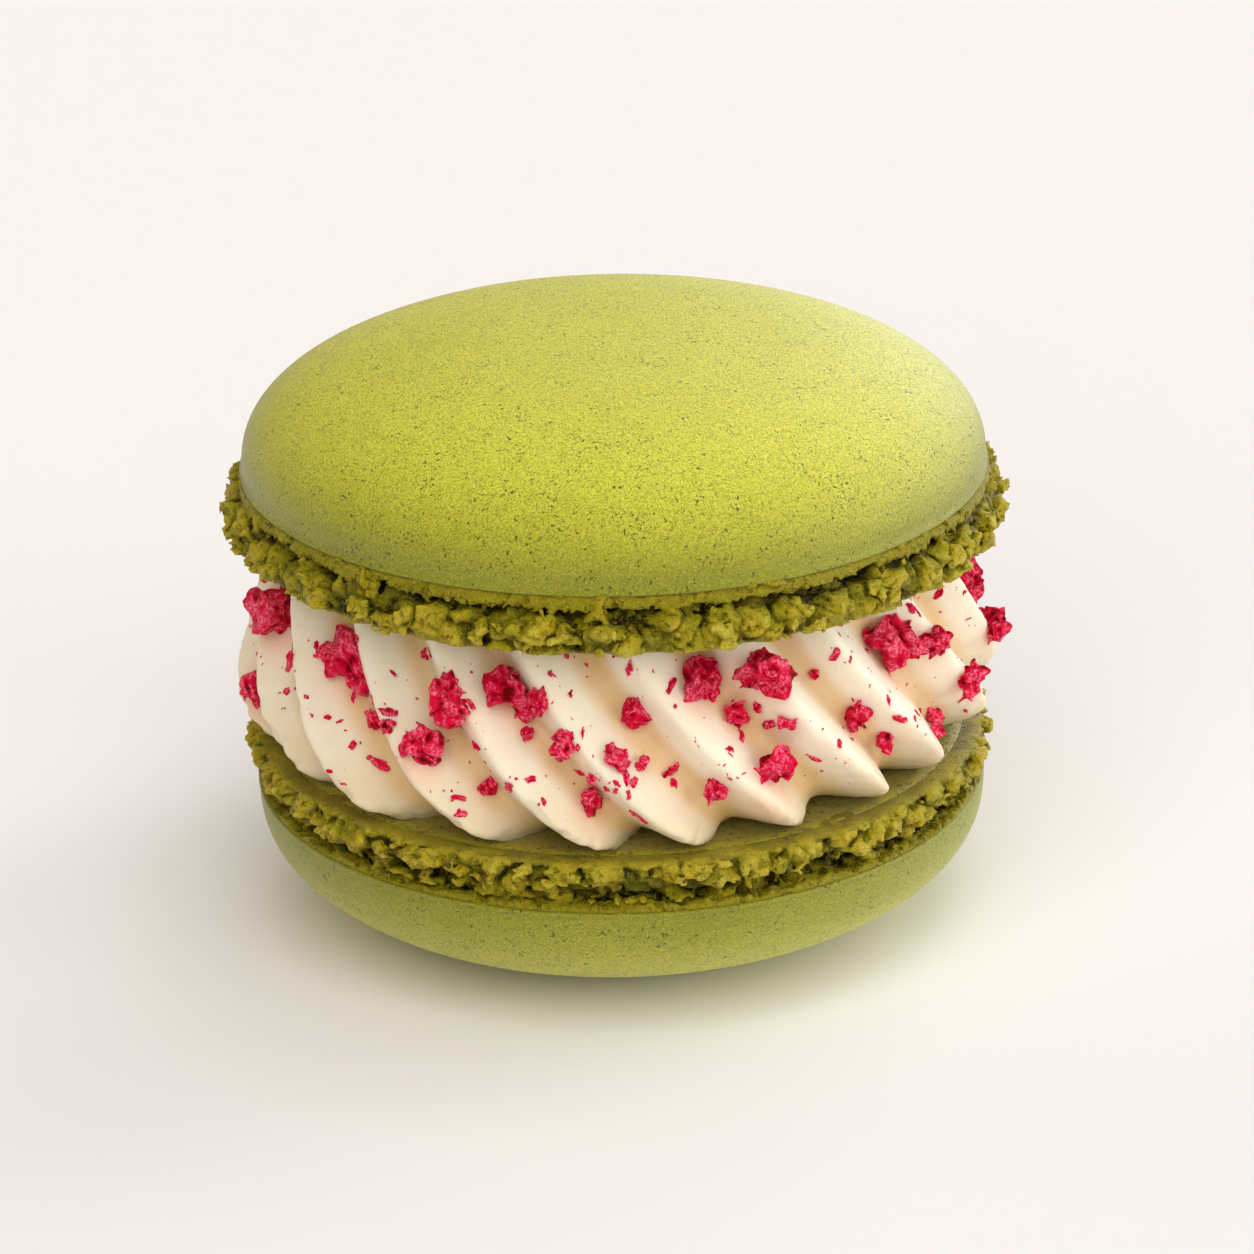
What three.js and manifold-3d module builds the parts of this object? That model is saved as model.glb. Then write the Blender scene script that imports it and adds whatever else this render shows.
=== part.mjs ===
// A french macaron: two almond meringue shells with ruffled feet, a piped buttercream
// filling that runs through between them, and raspberry crumbs stuck to the cream.
// Millimetres, +Z up. It stands on the small flat of the lower shell, and -Y is its front.
// Turns are in degrees round +Z from the front, growing towards +X.

import * as THREE from "three";
import { mergeVertices } from "three/addons/utils/BufferGeometryUtils.js";
import Module from "manifold-3d";

// ---- Driving dimensions ----------------------------------------------------------------

const CLEARANCE = 0.3; // between the filling and each shell

// domeRise is measured from the rim to the crown that the dome's curve would reach.
// crownPower and sidePower are the exponents of that curve, and 2 would be an ellipse.
const LOWER_SHELL = {
  domeRadius: 22.4,
  domeRise: 8.8,
  crownPower: 2.35,
  sidePower: 2.42,
  lipRadius: 22.4,
  flatRadius: 7,
  footHeight: 3.2,
  footRadius: 22.1,
  seed: 17,
};
const UPPER_SHELL = {
  domeRadius: 22.45,
  domeRise: 8.0,
  crownPower: 2.25,
  sidePower: 2.37,
  lipRadius: 22.75,
  flatRadius: 0,
  footHeight: 3.4,
  footRadius: 22.8,
  seed: 42,
};
const UPPER_SHELL_SHIFT = -0.15; // the upper shell sits a little to the left
const LIP = {
  height: 0.55, // from the rim up to where the dome is widest
  edge: 0.1, // from the rim up to the lip's widest line
  underside: 0.15, // how far the lip reaches below the rim
  overhang: 0.25, // how far the lip's underside is drawn in
};
// The core that the foot lies round: how far inside the foot's radius it stays.
const CORE = { atFace: 1.9, aboveFace: 1.4, underLip: 1.2, bevelHeight: 0.5 };
const BODY_SEGMENTS = 48;
const DOME_STEPS = 9;

const FOOT = {
  innerRadius: 19.6,
  edgeGap: 0.12, // between the foot's outline and the inner face
  taper: 0.8, // how much narrower it is under the lip
  columns: 132,
  sectionPoints: 9,
  outerShare: 0.5, // how far the section's points crowd towards the outside
  squareness: 0.6, // 1 would be an oval section
  bubbleRows: 2,
  bubbleSpacing: 2.6,
  bubbleRadius: 1.3,
  bubbleSpread: 0.35, // as a share of the radius
  bubbleReach: 0.85, // how much of a bubble stands out
  bubbleLift: 0.3, // how much of that also lifts the section's upper and lower sides
  lowestBubble: 0.35, // heights within a row, as shares of the row
  highestBubble: 0.65,
};

const FILLING_HEIGHT = 13.3; // between the two inner faces
const RIDGE = {
  frontTips: [-58, -40, -20, -2, 13, 30, 48, 62, 82], // where the front ridges end, below
  hiddenCount: 12,
  columns: 8,
  rows: 9,
  twist: 28, // how far a ridge turns back on its way up
  twistEase: 1.25,
  lowerDepth: 2.9,
  upperDepth: 1.7,
  crestWidth: 0.16, // how blunt a crest is, as a share of half a ridge
  valleyWidth: 0.8, // how much the flanks fill the valley, from 0 to 1
  unevenness: 0.25, // how far a ridge's reach differs from the others'
  seed: 8,
};
// Crest radius against the share of the filling's height.
const CREST_PROFILE = [
  [21.3, 0],
  [22.7, 0.1],
  [23.15, 0.23],
  [23.0, 0.38],
  [22.3, 0.55],
  [21.4, 0.75],
  [20.2, 1],
];

// The large crumbs of the front: turn, share of the filling's height, width, height.
const FRONT_CRUMBS = [
  [-87, 0.27, 1.4, 2.0],
  [-76, 0.68, 3.1, 2.8],
  [-50, 0.71, 3.7, 3.1],
  [-45, 0.46, 1.2, 1.1],
  [-32, 0.47, 2.3, 2.6],
  [-29, 0.59, 1.1, 1.2],
  [-26, 0.71, 2.4, 3.0],
  [-21, 0.32, 1.0, 1.3],
  [-18, 0.79, 3.1, 2.9],
  [-13, 0.76, 1.1, 1.8],
  [-9, 0.58, 1.2, 2.1],
  [-5, 0.34, 1.2, 2.1],
  [0, 0.49, 1.4, 1.4],
  [2, 0.71, 1.6, 1.8],
  [12, 0.82, 3.1, 3.0],
  [13, 0.37, 1.2, 2.1],
  [17, 0.68, 1.2, 1.9],
  [22, 0.83, 3.1, 2.6],
  [23, 0.43, 2.0, 2.8],
  [38, 0.56, 1.7, 1.8],
  [42, 0.41, 1.2, 1.6],
  [49, 0.76, 3.2, 2.8],
  [56, 0.33, 1.1, 1.1],
  [60, 0.69, 1.7, 2.3],
  [65, 0.45, 1.7, 2.1],
  [90, 0.42, 2.1, 2.1],
  [92, 0.62, 2.7, 3.0],
];
const HIDDEN_CRUMBS = {
  count: 21,
  fromTurn: 104,
  toTurn: 262,
  lowest: 0.3,
  highest: 0.8,
  smallest: 1.1,
  largest: 3.4,
  smallBias: 2.2, // above 1, more of them are small
  narrowest: 0.85, // height against width
  tallest: 1.25,
  stepJitter: 0.6, // as a share of the step between two crumbs
  seed: 23,
};
const CRUMB = {
  standShare: 0.22, // how far a crumb's middle stands clear of the cream, by its depth
  depthShare: 0.75, // its depth against the smaller of its width and height
  roughness: 0.24,
  lean: 0.4, // the most that it leans to either side, in radians
  seed: 31,
};

// ---- Small helpers ---------------------------------------------------------------------

/** Repeatable random numbers from 0 to 1. */
function seededRandom(seed) {
  let state = seed;
  return () => {
    state = (state + 0x6d2b79f5) | 0;
    let mixed = Math.imul(state ^ (state >>> 15), 1 | state);
    mixed = (mixed + Math.imul(mixed ^ (mixed >>> 7), 61 | mixed)) ^ mixed;
    return ((mixed ^ (mixed >>> 14)) >>> 0) / 2 ** 32;
  };
}

/** A point at a turn round the part, a radius and a height. */
function aroundPart(turn, radius, height) {
  const angle = THREE.MathUtils.degToRad(turn);
  return new THREE.Vector3(radius * Math.sin(angle), -radius * Math.cos(angle), height);
}

/** The difference between two turns, from -180 to 180. */
function turnBetween(from, to) {
  return THREE.MathUtils.euclideanModulo(to - from + 180, 360) - 180;
}

/** Moves every vertex of a geometry to where place puts it. */
function moveVertices(geometry, place) {
  const position = geometry.attributes.position;
  const point = new THREE.Vector3();
  for (let index = 0; index < position.count; index += 1) {
    point.fromBufferAttribute(position, index);
    const moved = place(point.clone());
    position.setXYZ(index, moved.x, moved.y, moved.z);
  }
  return geometry;
}

/** Only the positions of a geometry, each vertex once, without triangles of no area. */
function weld(geometry) {
  const bare = geometry.clone();
  bare.deleteAttribute("normal");
  bare.deleteAttribute("uv");
  const merged = mergeVertices(bare, 1e-4);
  const kept = [];
  const corners = merged.index.array;
  for (let first = 0; first < corners.length; first += 3) {
    const [a, b, c] = corners.slice(first, first + 3);
    if (a !== b && b !== c && c !== a) kept.push(a, b, c);
  }
  merged.setIndex(kept);
  return merged;
}

const wasm = await Module();
wasm.setup();

/** The solid that a closed geometry bounds. */
function toSolid(geometry) {
  const welded = weld(geometry);
  const mesh = new wasm.Mesh({
    numProp: 3,
    vertProperties: Float32Array.from(welded.attributes.position.array),
    triVerts: Uint32Array.from(welded.index.array),
  });
  return new wasm.Manifold(mesh);
}

/** The closed geometry round a solid. */
function toGeometry(solid) {
  const mesh = solid.getMesh();
  const geometry = new THREE.BufferGeometry();
  geometry.setAttribute("position", new THREE.BufferAttribute(mesh.vertProperties, 3));
  geometry.setIndex(new THREE.BufferAttribute(mesh.triVerts, 1));
  geometry.computeVertexNormals();
  return geometry;
}

// ---- Shells ----------------------------------------------------------------------------
// A shell is made with its flat inner face at z = 0 and its dome upwards.

/** The outline of a shell's dome, from the lip to the crown. */
function domeOutline(shell) {
  const widest = shell.footHeight + LIP.height;
  const rise = shell.domeRise - LIP.height;
  const flatShare = shell.flatRadius / shell.domeRadius;
  const lastAngle = Math.acos(flatShare ** (shell.sidePower / 2));
  const outline = [new THREE.Vector2(shell.lipRadius, shell.footHeight + LIP.edge)];
  for (let step = 0; step <= DOME_STEPS; step += 1) {
    const angle = (lastAngle * step) / DOME_STEPS;
    const radius = shell.domeRadius * Math.cos(angle) ** (2 / shell.sidePower);
    const height = widest + rise * Math.sin(angle) ** (2 / shell.crownPower);
    outline.push(new THREE.Vector2(Math.max(radius, shell.flatRadius), height));
  }
  return outline;
}

/** From the inner face to the crown, or to the flat that takes its place. */
function shellHeight(shell) {
  return domeOutline(shell).at(-1).y;
}

/** The turned body of a shell, narrow where the foot lies round it. */
function shellBody(shell) {
  const underLip = shell.footHeight - LIP.underside;
  const profile = [
    new THREE.Vector2(0, 0),
    new THREE.Vector2(shell.footRadius - CORE.atFace, 0),
    new THREE.Vector2(shell.footRadius - CORE.aboveFace, CORE.bevelHeight),
    new THREE.Vector2(shell.footRadius - CORE.underLip, underLip),
    new THREE.Vector2(shell.lipRadius - LIP.overhang, underLip),
    ...domeOutline(shell),
  ];
  if (shell.flatRadius > 0) profile.push(new THREE.Vector2(0, shellHeight(shell)));
  return new THREE.LatheGeometry(profile, BODY_SEGMENTS).rotateX(Math.PI / 2);
}

/** The bubbles that burst out round a shell's foot while it bakes. */
function footBubbles(shell) {
  const random = seededRandom(shell.seed);
  const around = 2 * Math.PI * shell.footRadius;
  const count = Math.round(around / FOOT.bubbleSpacing);
  const bubbles = [];
  for (let row = 0; row < FOOT.bubbleRows; row += 1) {
    for (let place = 0; place < count; place += 1) {
      const aside = (row + random() - 0.5) / 2;
      const within = THREE.MathUtils.lerp(FOOT.lowestBubble, FOOT.highestBubble, random());
      bubbles.push({
        turn: ((place + aside) * 360) / count,
        height: (shell.footHeight * (row + within)) / FOOT.bubbleRows,
        radius: FOOT.bubbleRadius * (1 + FOOT.bubbleSpread * (2 * random() - 1)),
      });
    }
  }
  return bubbles;
}

/** How far the bubbles stand out at one place of the foot's side. */
function bubbleBulge(bubbles, footRadius, turn, height) {
  const millimetresPerDegree = (Math.PI * footRadius) / 180;
  let bulge = 0;
  for (const bubble of bubbles) {
    const across = turnBetween(bubble.turn, turn) * millimetresPerDegree;
    const offset = Math.hypot(across, height - bubble.height);
    if (offset < bubble.radius) {
      bulge = Math.max(bulge, Math.sqrt(bubble.radius ** 2 - offset ** 2));
    }
  }
  return bulge;
}

/** The ruffled ring that a shell stands on in the oven. */
function shellFoot(shell) {
  const bubbles = footBubbles(shell);
  const middleHeight = (shell.footHeight + FOOT.edgeGap) / 2;
  const halfHeight = (shell.footHeight - FOOT.edgeGap) / 2;
  const middleRadius = (FOOT.innerRadius + shell.footRadius) / 2;
  const halfWidth = (shell.footRadius - FOOT.innerRadius) / 2;
  const squared = (value) => Math.sign(value) * Math.abs(value) ** FOOT.squareness;
  const ring = new THREE.TorusGeometry(middleRadius, 1, FOOT.sectionPoints, FOOT.columns);
  return moveVertices(ring, (point) => {
    const turn = THREE.MathUtils.radToDeg(Math.atan2(point.x, -point.y));
    const even = Math.atan2(point.z, Math.hypot(point.x, point.y) - middleRadius);
    const crowded = even - FOOT.outerShare * Math.sin(even);
    const outward = squared(Math.cos(crowded));
    const upward = squared(Math.sin(crowded));
    const height = middleHeight + halfHeight * upward;
    const bulge = FOOT.bubbleReach * bubbleBulge(bubbles, shell.footRadius, turn, height);
    const taper = FOOT.taper * Math.max(0, upward) * Math.max(0, outward);
    const radius = middleRadius + halfWidth * outward + bulge * Math.max(0, outward) - taper;
    const raised = height + FOOT.bubbleLift * bulge * upward;
    return aroundPart(turn, radius, THREE.MathUtils.clamp(raised, FOOT.edgeGap, shell.footHeight));
  });
}

function shellGeometry(shell) {
  const solid = toSolid(shellBody(shell)).add(toSolid(shellFoot(shell)));
  return toGeometry(solid);
}

// ---- Filling ---------------------------------------------------------------------------

const lowerFace = shellHeight(LOWER_SHELL);
const upperFace = lowerFace + FILLING_HEIGHT;
const ridgeCount = RIDGE.frontTips.length + RIDGE.hiddenCount;
const crestCurve = new THREE.SplineCurve(
  CREST_PROFILE.map(([radius, share]) => new THREE.Vector2(radius, share)),
);

/** Every ridge's turn at its lower end and its own reach. */
function pipedRidges() {
  const random = seededRandom(RIDGE.seed);
  const first = RIDGE.frontTips[0];
  const last = RIDGE.frontTips.at(-1);
  const hiddenStep = (first + 360 - last) / (RIDGE.hiddenCount + 1);
  const ridges = [];
  for (let index = 0; index < ridgeCount; index += 1) {
    const past = index - RIDGE.frontTips.length + 1;
    ridges.push({
      turn: past > 0 ? last + past * hiddenStep : RIDGE.frontTips[index],
      reach: RIDGE.unevenness * (2 * random() - 1),
    });
  }
  return ridges;
}

const ridges = pipedRidges();

/** The crest radius at a share of the filling's height, from the crest's curve. */
function crestRadius(share) {
  let low = 0;
  let high = 1;
  for (let halving = 0; halving < 20; halving += 1) {
    const middle = (low + high) / 2;
    if (crestCurve.getPoint(middle).y < share) low = middle;
    else high = middle;
  }
  return crestCurve.getPoint(low).x;
}

/** How far a ridge has turned back at a share of the filling's height. */
function twistAt(share) {
  return -RIDGE.twist * (1 - (1 - share) ** RIDGE.twistEase);
}

/** 1 on a crest and 0 in a valley, with the crest tighter than the valley. */
function ridgeSection(phase) {
  const away = Math.abs(2 * (phase - Math.round(phase)));
  const softened = Math.hypot(away, RIDGE.crestWidth) - RIDGE.crestWidth;
  const reach = Math.hypot(1, RIDGE.crestWidth) - RIDGE.crestWidth;
  const fall = softened / reach;
  return (1 - fall) ** 2 * (1 + RIDGE.valleyWidth * fall);
}

/** A point of the cream's side at a ridge phase (0 to ridgeCount) and a share of its height. */
function creamPoint(phase, share) {
  const index = Math.floor(phase) % ridgeCount;
  const along = phase - Math.floor(phase);
  const here = ridges[index];
  const next = ridges[(index + 1) % ridgeCount];
  const gap = THREE.MathUtils.euclideanModulo(next.turn - here.turn, 360);
  const turn = here.turn + gap * along + twistAt(share);
  const reach = THREE.MathUtils.lerp(here.reach, next.reach, along);
  const depth = THREE.MathUtils.lerp(RIDGE.lowerDepth, RIDGE.upperDepth, share);
  const radius = crestRadius(share) + reach - depth * (1 - ridgeSection(phase));
  const height = lowerFace + CLEARANCE + (FILLING_HEIGHT - 2 * CLEARANCE) * share;
  return { turn, radius, height };
}

/** The ridge phase at which the cream's side has a turn, at a share of its height. */
function phaseAt(turn, share) {
  const lowerTurn = turn - twistAt(share);
  for (let index = 0; index < ridgeCount; index += 1) {
    const here = ridges[index].turn;
    const gap = THREE.MathUtils.euclideanModulo(ridges[(index + 1) % ridgeCount].turn - here, 360);
    const along = THREE.MathUtils.euclideanModulo(lowerTurn - here, 360);
    if (along < gap) return index + along / gap;
  }
  return 0;
}

/** The piped cream: twisted ridges round a core that reaches from shell to shell. */
function creamGeometry() {
  const drum = new THREE.CylinderGeometry(1, 1, 1, ridgeCount * RIDGE.columns, RIDGE.rows);
  return moveVertices(drum.rotateX(Math.PI / 2), (point) => {
    const share = point.z + 0.5;
    const angle = THREE.MathUtils.radToDeg(Math.atan2(point.x, -point.y));
    const phase = (THREE.MathUtils.euclideanModulo(angle, 360) * ridgeCount) / 360;
    const side = creamPoint(phase, share);
    const radius = Math.hypot(point.x, point.y) < 0.5 ? 0 : side.radius;
    return aroundPart(side.turn, radius, side.height);
  });
}

/** One dried crumb, sunk into the cream at a turn and a share of the filling's height. */
function crumbGeometry([turn, share, width, height], random) {
  const depth = CRUMB.depthShare * Math.min(width, height);
  const lump = new THREE.IcosahedronGeometry(0.5, 0);
  const welded = weld(lump);
  moveVertices(welded, (point) => {
    const roughness = 1 + CRUMB.roughness * (2 * random() - 1);
    return point.multiply(new THREE.Vector3(width, depth, height)).multiplyScalar(roughness);
  });
  const side = creamPoint(phaseAt(turn, share), share);
  const seat = aroundPart(turn, side.radius + CRUMB.standShare * depth, side.height);
  welded.rotateY(CRUMB.lean * (2 * random() - 1));
  welded.rotateZ(THREE.MathUtils.degToRad(turn));
  return welded.translate(seat.x, seat.y, seat.z);
}

/** The crumbs of the side that faces away, spread in even steps with a random share. */
function hiddenCrumbs() {
  const { lerp } = THREE.MathUtils;
  const rule = HIDDEN_CRUMBS;
  const random = seededRandom(rule.seed);
  const crumbs = [];
  for (let place = 0; place < rule.count; place += 1) {
    const step = (place + rule.stepJitter * random()) / rule.count;
    const share = lerp(rule.lowest, rule.highest, random());
    const width = lerp(rule.smallest, rule.largest, random() ** rule.smallBias);
    const height = width * lerp(rule.narrowest, rule.tallest, random());
    crumbs.push([lerp(rule.fromTurn, rule.toTurn, step), share, width, height]);
  }
  return crumbs;
}

/** The cream with its crumbs, as one solid. */
function fillingGeometry() {
  const random = seededRandom(CRUMB.seed);
  let solid = toSolid(creamGeometry());
  for (const crumb of [...FRONT_CRUMBS, ...hiddenCrumbs()]) {
    solid = solid.add(toSolid(crumbGeometry(crumb, random)));
  }
  return toGeometry(solid);
}

// ---- Assembly --------------------------------------------------------------------------

const pistachioCrust = new THREE.MeshStandardMaterial({ color: 0xb5b64e, roughness: 0.75, metalness: 0 });
const butterCream = new THREE.MeshStandardMaterial({ color: 0xf7ead2, roughness: 0.45, metalness: 0 });

function namedMesh(name, geometry, material) {
  const mesh = new THREE.Mesh(geometry, material);
  mesh.name = name;
  return mesh;
}

const lowerShell = namedMesh("lower_shell", shellGeometry(LOWER_SHELL), pistachioCrust);
lowerShell.rotation.x = Math.PI;
lowerShell.position.z = lowerFace;

const filling = namedMesh("filling", fillingGeometry(), butterCream);

const upperShell = namedMesh("upper_shell", shellGeometry(UPPER_SHELL), pistachioCrust);
upperShell.position.set(UPPER_SHELL_SHIFT, 0, upperFace);

const group = new THREE.Group();
group.add(lowerShell, filling, upperShell);
export default group;
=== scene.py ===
"""The looks of a pistachio macaron: matt domes, ruffled feet, piped cream and raspberry crumbs.

Sizes are in millimetres up to the point where a mesh is made, and metres from there on.
Turns are in degrees round +Z from the front (-Y), growing towards +X. A share runs from 0 at
the lower shell's inner face to 1 at the upper shell's.
"""

import math

import bpy
import numpy as np
from mathutils import Matrix, Vector


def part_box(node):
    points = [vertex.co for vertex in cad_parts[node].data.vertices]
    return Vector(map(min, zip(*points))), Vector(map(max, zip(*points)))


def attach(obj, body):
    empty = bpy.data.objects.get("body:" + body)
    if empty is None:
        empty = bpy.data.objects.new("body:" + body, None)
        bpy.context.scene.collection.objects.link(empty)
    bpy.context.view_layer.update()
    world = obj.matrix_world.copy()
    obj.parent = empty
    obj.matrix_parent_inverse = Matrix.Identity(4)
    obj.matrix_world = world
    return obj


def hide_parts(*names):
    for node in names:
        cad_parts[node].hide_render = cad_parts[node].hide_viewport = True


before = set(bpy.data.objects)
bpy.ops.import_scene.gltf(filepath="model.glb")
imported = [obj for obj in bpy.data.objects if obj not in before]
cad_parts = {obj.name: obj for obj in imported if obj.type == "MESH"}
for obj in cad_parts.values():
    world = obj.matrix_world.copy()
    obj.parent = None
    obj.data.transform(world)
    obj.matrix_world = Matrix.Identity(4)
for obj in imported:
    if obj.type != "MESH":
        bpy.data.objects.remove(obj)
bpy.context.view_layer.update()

MM = 0.001

# ---- Sizes taken from the frame ---------------------------------------------------------

LOWER_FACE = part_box("lower_shell")[1].z / MM
UPPER_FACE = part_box("upper_shell")[0].z / MM
FILLING_HEIGHT = UPPER_FACE - LOWER_FACE

# ---- Sizes of the shells, each measured up from its own inner face -----------------------

# A power of 2 makes a dome's side an ellipse, and a larger one makes it squarer. A level is a
# share of the foot's height. A higher rarity leaves fewer holes.
UPPER = dict(
    dome_radius=22.45, dome_rise=8.0, crown_power=2.25, side_power=2.37, lip_radius=22.58,
    flat_radius=0.0, foot_height=3.4, foot_radius=23.45, shift=-0.15, seed=3.0,
    hole_level=0.76, hole_rarity=0.48, plate_inset=0.5, plate_gap=0.5, skirt_drop=0.75,
    skirt_flare=0.3,
)
LOWER = dict(
    dome_radius=22.4, dome_rise=8.8, crown_power=2.35, side_power=2.42, lip_radius=22.46,
    flat_radius=7.0, foot_height=3.2, foot_radius=22.6, shift=0.0, seed=41.0,
    hole_level=0.58, hole_rarity=0.48, plate_inset=0.25, plate_gap=0.0, skirt_drop=0.45,
    skirt_flare=0.05,
)
LIP_HEIGHT = 0.55  # from the rim up to where the dome is widest
LIP_EDGE = [  # the rolled edge under the lip, as radius and height from the rim
    (-1.6, -0.12), (-0.7, -0.1), (-0.3, -0.07), (-0.1, -0.02), (-0.02, 0.06), (-0.02, 0.16),
    (-0.1, 0.27),
]
DOME = dict(
    columns=320, side_rows=76, face_rows=26, smallest_ring=0.25, smallest_face_ring=0.4,
    face_inset=1.5, unevenness=0.07, flat_fade=5, face_relief=0.09,
)

# ---- Sizes of the feet: how close their lumps lie, and how far these stand out -----------

NUGGETS_PER_MM = 0.57
KNOBS_PER_MM = 1.35
SMALL_KNOBS_PER_MM = 2.5
BUBBLES_PER_MM = 1.05
NUGGET_REACH = 0.72
KNOB_REACH = 0.46
SMALL_KNOB_REACH = 0.24
CRACK_DEPTH = 0.28
BUBBLE_DEPTH = 0.8
HOLE_DEPTH = 2.4
GRAIN_DEPTH = 0.28
FOAM_SETBACK = 0.55  # of the foam behind the foot's full reach
NARROWING = 1.15  # of the foam towards the lip
PLATE_THICKNESS = 0.32
SKIRT_TUCK = 0.03  # of the torn skirt under the lip
VOXEL = 0.163
SKIN_ADAPTIVITY = 0.15
SMALLEST_ISLAND = 3000.0  # points in a loose scrap of foot that is still kept

# ---- Sizes of the cream -----------------------------------------------------------------

FRONT_TIPS = [-58, -40, -20, -2, 13, 30, 48, 62, 82]  # turns of the ridges' lower ends
HIDDEN_RIDGES = 12
RIDGES = len(FRONT_TIPS) + HIDDEN_RIDGES
RIDGE_COLUMNS = 32
CREAM_ROWS = 112
ROW_CROWDING = 1.15  # more rows near the lower edge than near the upper one
TWIST = 28.0  # degrees from a ridge's lower end to its upper end
TWIST_EASE = 1.25
RIDGE_REACH_SPREAD = 0.22
RIDGE_LEAN_SPREAD = 2.0
LOWER_DEPTH = 2.9  # of the valleys
UPPER_DEPTH = 1.7
CREST_WIDTH = 0.16
VALLEY_WIDTH = 0.8
CREST_SHARES = [0.0, 0.05, 0.13, 0.25, 0.38, 0.55, 0.75, 1.0]
CREST_RADII = [20.3, 21.6, 22.7, 23.15, 23.0, 22.3, 21.4, 20.2]
SMEAR = 0.14
FINE_SMEAR = 0.03
SCALLOPS = 148  # round the lower edge
SCALLOP_SHARE = 0.09  # of the height that they reach up
SCALLOP_DEPTH = 0.5
NOTCH_DEPTH = 0.5

# ---- Crumbs: turn, share, width, height -------------------------------------------------

FRONT_CRUMBS = [
    (-80, 0.25, 1.9, 2.2), (-76, 0.66, 3.4, 3.2), (-51, 0.68, 4.2, 3.3), (-44, 0.45, 1.3, 1.1),
    (-32, 0.43, 2.5, 2.6), (-30, 0.55, 1.1, 1.2), (-26, 0.7, 2.3, 2.9), (-22, 0.26, 1.0, 1.3),
    (-18, 0.73, 3.1, 2.9), (-12, 0.74, 1.1, 1.8), (-8, 0.56, 1.4, 2.3), (-5, 0.25, 1.3, 2.5),
    (-1, 0.49, 1.6, 1.5), (3, 0.66, 1.6, 1.8), (13, 0.76, 2.9, 3.0), (15, 0.32, 1.2, 2.2),
    (19, 0.58, 1.4, 2.1), (23, 0.79, 2.9, 2.7), (23, 0.34, 2.0, 3.5), (42, 0.46, 1.7, 1.8),
    (47, 0.32, 1.2, 1.6), (54, 0.71, 3.2, 2.8), (56, 0.28, 1.1, 1.1), (60, 0.65, 1.7, 2.3),
    (67, 0.41, 1.7, 2.1), (85, 0.45, 2.3, 2.1), (92, 0.62, 2.7, 3.0),
]
SMALL_CRUMBS = [
    (-37, 0.52, 0.8, 0.9), (-15, 0.54, 0.9, 1.1), (3, 0.43, 0.8, 1.3), (8, 0.38, 1.6, 0.6),
    (27, 0.56, 0.9, 1.0), (23, 0.63, 0.6, 0.9), (25, 0.54, 0.6, 0.6), (-61, 0.62, 0.7, 1.4),
    (-4, 0.4, 0.6, 0.8), (66, 0.24, 1.4, 1.2), (15, 0.69, 0.9, 0.8), (35, 0.68, 0.6, 0.9),
]
HIDDEN_CRUMBS = dict(
    count=40, from_turn=104, to_turn=262, low=0.25, high=0.85, small=0.7, large=2.9, rarity=2.4,
)
LARGE_CRUMB = 1.9
CRUMB_SHRINK = 0.89  # the crumpling makes up for it
CRUMB_DEPTH = 0.75  # of its smaller side
CRUMB_STAND = 0.22  # of its depth, from the cream out to its middle
CRUMB_SPIN = 0.5
CRUMPLE = 0.5
SEAT_RADIUS = 12  # no crumb sits further in than this
MM_PER_DEGREE = 0.39  # round the cream's side
FLECKS = dict(crowd=1.1e6, smallest=0.08, largest=0.5, lowest=0.1, highest=0.9)

# ---- Camera -----------------------------------------------------------------------------

CAMERA_ELEVATION = 22.54
CAMERA_ROLL = 0.94
CAMERA_DISTANCE = 300.0
CAMERA_AIM = (0.5, 0.0, 17.3)
SENSOR_WIDTH = 36.0
FOCAL_PIXELS = 4890
PICTURE_PIXELS = 1254


# ==== Helpers for node trees =============================================================


class Value:
    """An output socket that Python's operators extend with Math nodes."""

    def __init__(self, tree, socket):
        self.tree = tree
        self.socket = socket

    def math(self, operation, *others, clamp=False):
        return math_node(self.tree, operation, (self, *others), clamp)

    def __add__(self, other):
        return self.math("ADD", other)

    def __sub__(self, other):
        return self.math("SUBTRACT", other)

    def __rsub__(self, other):
        return math_node(self.tree, "SUBTRACT", (other, self))

    def __mul__(self, other):
        return self.math("MULTIPLY", other)

    def __truediv__(self, other):
        return self.math("DIVIDE", other)

    def __rtruediv__(self, other):
        return math_node(self.tree, "DIVIDE", (other, self))

    def __pow__(self, other):
        return self.math("POWER", other)

    def __neg__(self):
        return self.math("MULTIPLY", -1.0)

    __radd__ = __add__
    __rmul__ = __mul__

    def least(self, other):
        return self.math("MINIMUM", other)

    def most(self, other):
        return self.math("MAXIMUM", other)

    def clamped(self):
        return self.math("ADD", 0.0, clamp=True)

    def size(self):
        return self.math("ABSOLUTE")

    def root(self):
        return self.math("SQRT")

    def between(self, low, high):
        """0 at low, 1 at high and a smooth step from one to the other."""
        node = self.tree.nodes.new("ShaderNodeMapRange")
        node.interpolation_type = "SMOOTHSTEP"
        for name, value in (("Value", self), ("From Min", low), ("From Max", high)):
            feed(self.tree, node.inputs[name], value)
        return Value(self.tree, node.outputs["Result"])


def math_node(tree, operation, values, clamp=False):
    """What a Math node makes of values or numbers, in their order."""
    node = tree.nodes.new("ShaderNodeMath")
    node.operation = operation
    node.use_clamp = clamp
    for socket, value in zip(node.inputs, values):
        feed(tree, socket, value)
    return Value(tree, node.outputs[0])


def feed(tree, socket, value):
    """Links a value to a socket, or sets a plain number, colour or vector on it."""
    if isinstance(value, Value):
        tree.links.new(value.socket, socket)
    else:
        socket.default_value = value


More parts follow.
